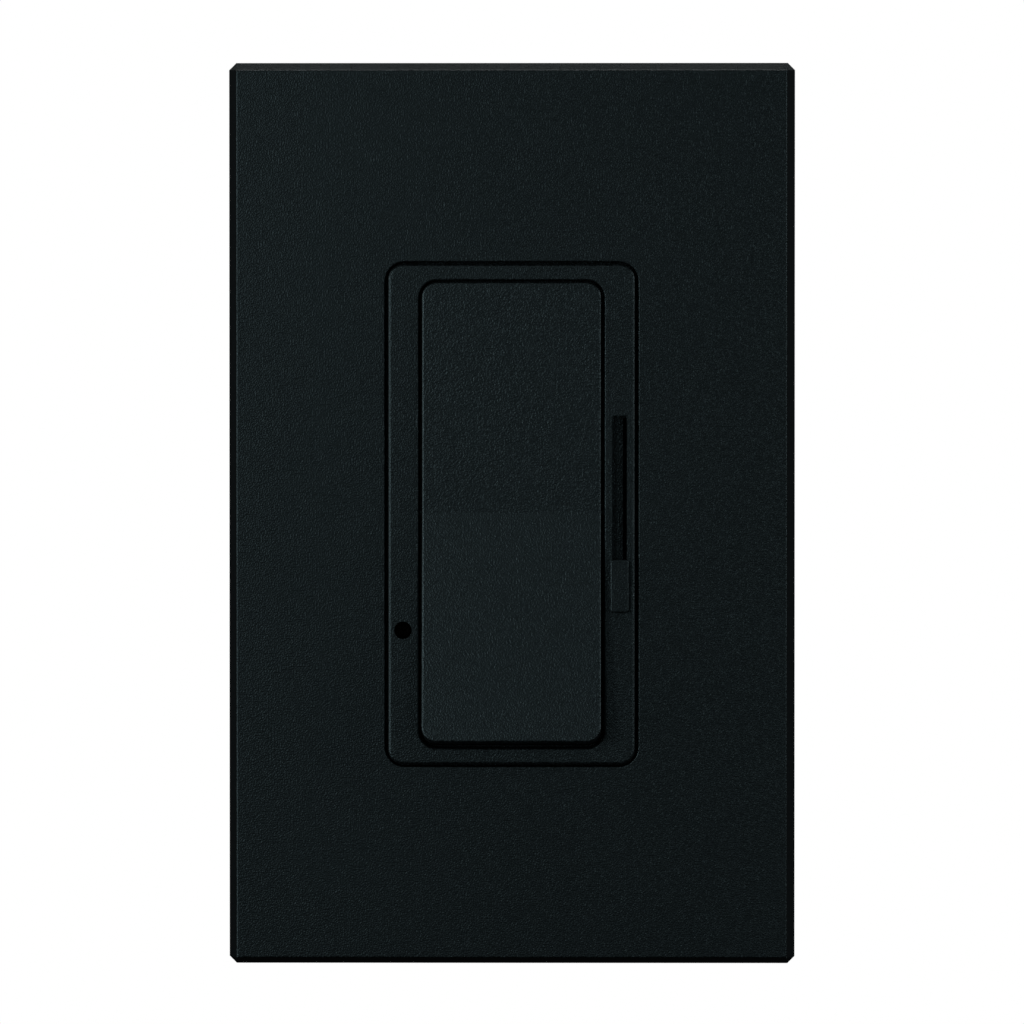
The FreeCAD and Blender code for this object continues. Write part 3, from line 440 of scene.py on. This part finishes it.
def cross_cutter(start, end, reach, width):
    """A cross-head driver's tip that narrows towards its end."""
    vertices, faces = [], []
    for y, scale in ((start, 1.0), (end, DRIVER_TAPER)):
        far, near = reach * scale, width / 2 * (0.5 + scale / 2)
        outline = [(far, -near), (far, near), (near, near), (near, far), (-near, far), (-near, near),
                   (-far, near), (-far, -near), (-near, -near), (-near, -far), (near, -far), (near, -near)]
        vertices += [(x, y, z) for x, z in outline]
    corners = len(outline)
    for corner in range(corners):
        after = (corner + 1) % corners
        faces.append((corner, corner + corners, after + corners, after))
    faces.append(tuple(range(corners)))
    faces.append(tuple(range(2 * corners - 1, corners - 1, -1)))
    return vertices, faces


def cut_with(piece, vertices, faces):
    """Takes a closed cutter out of a piece for good."""
    tool = bpy.data.meshes.new("cutter")
    tool.from_pydata(vertices, [], faces)
    cutter = bpy.data.objects.new("cutter", tool)
    bpy.context.scene.collection.objects.link(cutter)
    modifier = piece.modifiers.new("cut", "BOOLEAN")
    modifier.operation = "DIFFERENCE"
    modifier.solver = "EXACT"
    modifier.object = cutter
    bpy.context.view_layer.update()
    evaluated = piece.evaluated_get(bpy.context.evaluated_depsgraph_get())
    mesh = bpy.data.meshes.new_from_object(evaluated)
    old = piece.data
    piece.modifiers.clear()
    piece.data = mesh
    bpy.data.meshes.remove(old)
    bpy.data.objects.remove(cutter)
    bpy.data.meshes.remove(tool)
    mesh.shade_smooth()
    mesh.set_sharp_from_angle(angle=SHARP)


# ---- threaded screws ---------------------------------------------------------------------
# Each kind is in millimetres along its own axis, which is the CAD screw's: the rings of its head and
# its tip as (depth, radius), its thread, its driver's recess, and the radius of the CAD head.
BOX_SCREW = {
    "head": [(-3.6, 0.5), (-3.6, 2.55), (-3.52, 2.85), (-3.33, 3.15), (-3.03, 3.38), (-2.7, 3.45),
             (-1.78, 3.45), (-1.6, 3.3), (-1.6, 1.5), (0.0, 1.5)],
    "thread": {"start": 0.05, "end": 29.0, "radius": 1.75, "pitch": 0.79, "depth": 0.36, "around": 28},
    "tip": [(29.6, 1.45), (30.0, 1.1), (30.0, 0.4)],
    "recess": {"start": -3.75, "end": -2.4, "reach": 1.9, "width": 0.8},
    "cad_head": 3.45}
ADAPTER_SCREW = {
    "head": [(-3.6, 0.5), (-3.6, 3.3), (-3.5, 3.42), (-3.4, 3.35), (-2.0, 1.72)],
    "thread": {"start": -1.95, "end": 3.0, "radius": 1.7, "pitch": 0.79, "depth": 0.34, "around": 28},
    "tip": [(3.5, 1.35), (3.8, 1.1), (3.8, 0.4)],
    "recess": {"start": -3.75, "end": -2.7, "reach": 1.75, "width": 0.75},
    "cad_head": 3.45}
HOUSING_SCREW = {
    "head": [(-1.55, 0.4), (-1.55, 2.42), (-1.47, 2.53), (-1.40, 2.47), (-0.3, 1.22)],
    "thread": {"start": -0.25, "end": 13.0, "radius": 1.2, "pitch": 0.95, "depth": 0.34, "around": 20},
    "tip": [(13.6, 0.8), (14.2, 0.4), (14.2, 0.15)],
    "recess": {"start": -1.7, "end": -0.75, "reach": 1.3, "width": 0.55},
    "cad_head": 2.55}
TERMINAL_SCREW = {
    "head": [(0.0, 0.5), (0.0, 3.1), (0.1, 3.36), (0.3, 3.5), (1.6, 3.5), (1.8, 3.35), (1.8, 1.7)],
    "thread": {"start": 1.85, "end": 5.1, "radius": 1.7, "pitch": 0.79, "depth": 0.34, "around": 28},
    "tip": [(5.25, 1.5), (5.3, 1.2), (5.3, 0.4)],
    "recess": {"start": -0.1, "end": 0.75, "reach": 2.2, "width": 0.75},
    "cad_head": 3.5}
TERMINAL_SLOT = ((-4.0, -0.2, -0.45), (4.0, 0.7, 0.45))   # corners of the straight slot across its head
HOUSING_SCREW_SIDE = 18.8 * MM


def add_screw(name, kind, node, slot, placing, extra_cut=None):
    """One real screw that stands for one solid of a CAD node."""
    around = kind["thread"]["around"]
    rings = even_rings(kind["head"], around)
    rings += thread_rings(**kind["thread"])
    rings += even_rings(kind["tip"], around)
    vertices, faces = lathe(rings, around)
    piece = mesh_piece(name, vertices, faces, slot)
    cut_with(piece, *cross_cutter(**kind["recess"]))
    if extra_cut:
        cut_with(piece, *extra_cut)
    piece.data.transform(placing @ Matrix.Scale(MM, 4))
    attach(piece, "body")
    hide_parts(node)


def block(low, high):
    """Vertices and faces of a box between two corners."""
    across, deep, tall = zip(low, high)
    vertices = [(x, y, z) for x in across for y in deep for z in tall]
    faces = [(0, 1, 3, 2), (4, 6, 7, 5), (0, 4, 5, 1), (2, 3, 7, 6), (0, 2, 6, 4), (1, 5, 7, 3)]
    return vertices, faces


def screw_height(node, kind):
    """How far above the middle a CAD node's upper screws are: its box's top less a head's radius."""
    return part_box(node)[1].z - kind["cad_head"] * MM


def add_screws():
    """Screws with real threads and tapered recesses for the box, adapter, housing and terminals."""
    box_height = screw_height("box_screws", BOX_SCREW)
    adapter_height = screw_height("adapter_screws", ADAPTER_SCREW)
    for label, sign in (("top", 1), ("bottom", -1)):
        add_screw(f"box_screw_{label}", BOX_SCREW, "box_screws", "zinc_steel",
                  Matrix.Translation((0, 0, sign * box_height)))
        add_screw(f"adapter_screw_{label}", ADAPTER_SCREW, "adapter_screws", "zinc_steel",
                  Matrix.Translation((0, 0, sign * adapter_height)))
    housing_height = screw_height("housing_screws", HOUSING_SCREW)
    for index, (side, sign) in enumerate([(-1, -1), (-1, 1), (1, -1), (1, 1)]):
        add_screw(f"housing_screw_{index + 1}", HOUSING_SCREW, "housing_screws", "zinc_steel",
                  Matrix.Translation((side * HOUSING_SCREW_SIDE, 0, sign * housing_height)))
    low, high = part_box("terminal_screws")
    depth = (low.y + high.y) / 2
    terminal_height = screw_height("terminal_screws", TERMINAL_SCREW)
    for index, (side, sign) in enumerate([(1, 1), (1, -1), (-1, -1)]):
        placing = Matrix.Translation((side * high.x, depth, sign * terminal_height))
        placing = placing @ Matrix.Rotation(side * math.pi / 2, 4, "Z")
        add_screw(f"terminal_screw_{index + 1}", TERMINAL_SCREW, "terminal_screws", "brass_screw",
                  placing, block(*TERMINAL_SLOT))


# ---- the choke's winding -----------------------------------------------------------------
CORE_OUTER = 7.5 * MM
CORE_INNER = 3.75 * MM
CORE_LOW, CORE_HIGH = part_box("choke_core")
CORE_HALF = (CORE_HIGH.y - CORE_LOW.y) / 2
CORE_MIDDLE = Vector((CORE_HIGH.x - CORE_OUTER, (CORE_LOW.y + CORE_HIGH.y) / 2,
                      (CORE_LOW.z + CORE_HIGH.z) / 2))
BOARD_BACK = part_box("circuit_board")[1].y
CHOKE_WIRE = 0.41 * MM        # radius over the enamel
CHOKE_GAP = 0.02 * MM         # between the wire and the core
CHOKE_TURNS = 21
CHOKE_STEPS = 24              # points in a turn
WOUND_FROM = math.radians(34)
WOUND_TO = math.radians(326)
WIRE_SIDES = 8
FIRST_SIDE = Vector((0.3, 0.1, 0.9))


def section_point(fraction):
    """A point of the rounded rectangle that one turn follows round the core: radius and depth."""
    clear = CHOKE_WIRE + CHOKE_GAP
    inner, outer, half = CORE_INNER, CORE_OUTER, CORE_HALF
    arc = math.pi / 2 * clear
    lengths = [2 * half, arc, outer - inner, arc] * 2
    along = (fraction % 1.0) * sum(lengths)
    starts = [((outer + clear, -half), (0, 1)), ((outer, half + clear), (-1, 0)),
              ((inner - clear, half), (0, -1)), ((inner, -half - clear), (1, 0))]
    corners = [(outer, half), (inner, half), (inner, -half), (outer, -half)]
    for index, length in enumerate(lengths):
        if along > length:
            along -= length
            continue
        side = index // 2
        if index % 2 == 0:
            (radius, depth), (outwards, deeper) = starts[side]
            return radius + outwards * along, depth + deeper * along
        angle = math.pi / 2 * side + along / clear
        return corners[side][0] + clear * math.cos(angle), corners[side][1] + clear * math.sin(angle)
    return outer + clear, -half


def choke_path():
    """The wire's middle line: up from the board, round and round the core, and back to the board."""
    points = []
    count = CHOKE_TURNS * CHOKE_STEPS
    for step in range(count + 1):
        radius, depth = section_point(step / CHOKE_STEPS)
        angle = WOUND_FROM + (WOUND_TO - WOUND_FROM) * step / count
        offset = Vector((radius * math.cos(angle), depth, -radius * math.sin(angle)))
        points.append(CORE_MIDDLE + offset)
    first, last = points[0], points[-1]
    return [Vector((first.x, BOARD_BACK, first.z))] + points + [Vector((last.x, BOARD_BACK, last.z))]


def tube(path, radius):
    """Vertices and faces of a round wire along a path, with its frame carried without twist."""
    vertices, faces = [], []
    side = FIRST_SIDE
    for index, point in enumerate(path):
        before = path[max(0, index - 1)]
        after = path[min(len(path) - 1, index + 1)]
        along = (after - before).normalized()
        side = (side - along * side.dot(along)).normalized()
        other = along.cross(side)
        for spoke in range(WIRE_SIDES):
            angle = 2 * math.pi * spoke / WIRE_SIDES
            vertices.append(point + (side * math.cos(angle) + other * math.sin(angle)) * radius)
    last = (len(path) - 1) * WIRE_SIDES
    for row in range(0, last, WIRE_SIDES):
        for spoke in range(WIRE_SIDES):
            here, beside = row + spoke, row + (spoke + 1) % WIRE_SIDES
            faces.append((here, beside, beside + WIRE_SIDES, here + WIRE_SIDES))
    faces.append(tuple(range(WIRE_SIDES - 1, -1, -1)))
    faces.append(tuple(range(last, last + WIRE_SIDES)))
    return vertices, faces


def add_choke_wire():
    """The turns of wire in the place of the CAD winding, which is the space that they fill."""
    vertices, faces = tube(choke_path(), CHOKE_WIRE)
    wire = mesh_piece("choke_wire", vertices, faces, "enamelled_copper", SHARP_ON_WIRE)
    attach(wire, "body")
    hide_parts("choke_winding")


# ---- the plunger's spring ----------------------------------------------------------------
# Its ends are depths in the upright paddle, which then leans about its pivot to its rest.
JOINTS = {joint["name"]: joint for joint in frame["joints"]}
PADDLE_PIVOT = Vector(JOINTS["paddle_rock"]["pos_m"])
PADDLE_LEAN = math.radians(-3.5)
SPRING_START = -6.4 * MM
SPRING_END = 2.25 * MM
SPRING_RADIUS = 1.18 * MM
SPRING_WIRE = 0.16 * MM       # radius of the wire
SPRING_TURNS = 8
SPRING_STEPS = 28             # points in a turn
CLOSED_PITCH = 2.1 * SPRING_WIRE


def spring_depth(turn):
    """How far along the spring a turn is: the first and last turn lie closed on their neighbours."""
    length = SPRING_END - SPRING_START
    if turn < 1:
        return CLOSED_PITCH * turn
    if turn > SPRING_TURNS - 1:
        return length - CLOSED_PITCH * (SPRING_TURNS - turn)
    return CLOSED_PITCH + (length - 2 * CLOSED_PITCH) * (turn - 1) / (SPRING_TURNS - 2)


def add_spring():
    """A coil spring with closed ends, leaned to the paddle's rest and carried by the paddle's body."""
    path = []
    for step in range(SPRING_TURNS * SPRING_STEPS + 1):
        turn = step / SPRING_STEPS
        angle = 2 * math.pi * turn
        path.append(Vector((SPRING_RADIUS * math.cos(angle), SPRING_START + spring_depth(turn),
                            SPRING_RADIUS * math.sin(angle))))
    vertices, faces = tube(path, SPRING_WIRE)
    spring = mesh_piece("coil_spring", vertices, faces, "spring_steel", SHARP_ON_WIRE)
    pivot = Matrix.Translation(PADDLE_PIVOT)
    lean = pivot @ Matrix.Rotation(PADDLE_LEAN, 4, "X") @ pivot.inverted()
    spring.data.transform(lean)
    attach(spring, "paddle")
    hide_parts("plunger_spring")
    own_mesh(spring)


# ---- camera, light and floor -------------------------------------------------------------
VIEW_DISTANCE = 0.945
VIEW_RIGHT = math.radians(0.5)
VIEW_ABOVE = math.radians(1.0)
FRAME_WIDTH = 0.1355          # width of the view at the plane of the wall
AIM = Vector((0, 0, 0.00019))
SENSOR = 36.0                 # millimetres
CLIP_NEAR = 0.01
CLIP_FAR = 20
BACKGROUND = (1, 1, 1, 1)
AMBIENT = (0.0035, 0.0037, 0.004, 1)
FLOOR_HALF = 0.9
FLOOR_DROP = 0.21             # how far below the device's middle the floor is

# Soft lights, each (name, place, size, watts), pointed at the middle of the device. The front ones are
# well to the sides of the view, so that the matte faces stay dark and even. The light for the plate's
# top wall comes from behind the plate's plane, where it can't reach the rounded edges of the bezel.
PANELS = [
    ("left_key", (-0.22, -0.92, 0.10), (0.12, 0.30), 0.205),
    ("left_wide", (-0.50, -0.80, 0.10), (0.20, 0.30), 1.0),
    ("right_wide", (0.42, -0.80, -0.03), (0.20, 0.20), 0.32),
    ("top_front", (0.0, -0.75, 0.50), (0.60, 0.30), 0.24),
    ("top_rear", (0.0, 0.60, 1.00), (0.90, 0.30), 2.8),
    ("side_right", (1.20, -0.30, 0.25), (0.5, 0.5), 2.0),
    ("side_left", (-1.20, -0.30, 0.25), (0.5, 0.5), 1.2),
    ("low_left", (-0.95, -0.55, -0.18), (0.5, 0.6), 1.7),
    ("rear_panel", (0.0, 1.30, 0.03), (0.3, 0.3), 14.0),
    ("rear_left", (-1.00, 0.70, 0.90), (0.5, 0.5), 3.0),
    ("rear_right", (1.00, 0.70, 0.90), (0.5, 0.5), 4.0)]


def turn_towards(thing, target):
    """Turns a camera or a light so that it looks at a point."""
    towards = target - thing.location
    thing.rotation_euler = towards.to_track_quat("-Z", "Y").to_euler()


def add_camera():
    data = bpy.data.cameras.new("camera")
    data.sensor_width = SENSOR
    data.lens = SENSOR * VIEW_DISTANCE / FRAME_WIDTH
    data.clip_start = CLIP_NEAR
    data.clip_end = CLIP_FAR
    camera = bpy.data.objects.new("camera", data)
    bpy.context.scene.collection.objects.link(camera)
    flat = VIEW_DISTANCE * math.cos(VIEW_ABOVE)
    camera.location = AIM + Vector((flat * math.sin(VIEW_RIGHT), -flat * math.cos(VIEW_RIGHT),
                                    VIEW_DISTANCE * math.sin(VIEW_ABOVE)))
    turn_towards(camera, AIM)
    bpy.context.scene.camera = camera


def add_panel(name, place, size, watts):
    """A rectangular light that lights the object and isn't seen itself."""
    data = bpy.data.lights.new(name, "AREA")
    data.shape = "RECTANGLE"
    data.size, data.size_y = size
    data.energy = watts
    light = bpy.data.objects.new(name, data)
    bpy.context.scene.collection.objects.link(light)
    light.location = place
    light.visible_camera = False
    turn_towards(light, Vector((0, 0, 0)))


def add_world():
    """White behind the object, and only a dim even light on it."""
    world = bpy.data.worlds.new("world")
    bpy.context.scene.world = world
    world.use_nodes = True
    nodes, links = world.node_tree.nodes, world.node_tree.links
    nodes.clear()
    output = nodes.new("ShaderNodeOutputWorld")
    seen = nodes.new("ShaderNodeBackground")
    seen.inputs["Color"].default_value = BACKGROUND
    dim = nodes.new("ShaderNodeBackground")
    dim.inputs["Color"].default_value = AMBIENT
    rays = nodes.new("ShaderNodeLightPath")
    mix = nodes.new("ShaderNodeMixShader")
    links.new(rays.outputs["Is Camera Ray"], mix.inputs["Fac"])
    links.new(dim.outputs["Background"], mix.inputs[1])
    links.new(seen.outputs["Background"], mix.inputs[2])
    links.new(mix.outputs["Shader"], output.inputs["Surface"])


def add_floor():
    """A pale floor that is seen, but neither lights the object nor shows in its gloss."""
    shader = Shader("pale_floor")
    shader.link(shader.spread(shader.noise(300.0, detail=3.0), 0.80, 0.84), "Base Color")
    shader.set(Roughness=0.8)
    corners = [(-1, -1), (1, -1), (1, 1), (-1, 1)]
    vertices = [(x * FLOOR_HALF, y * FLOOR_HALF, -FLOOR_DROP) for x, y in corners]
    mesh = bpy.data.meshes.new("floor")
    mesh.from_pydata(vertices, [], [(0, 1, 2, 3)])
    mesh.materials.append(shader.material)
    floor = bpy.data.objects.new("floor", mesh)
    bpy.context.scene.collection.objects.link(floor)
    floor.visible_diffuse = False
    floor.visible_glossy = False


# ---- the scene ---------------------------------------------------------------------------
dress_nodes()
add_screws()
add_choke_wire()
add_spring()

bpy.context.scene.view_settings.view_transform = "Standard"
add_camera()
add_world()
for panel in PANELS:
    add_panel(*panel)
add_floor()
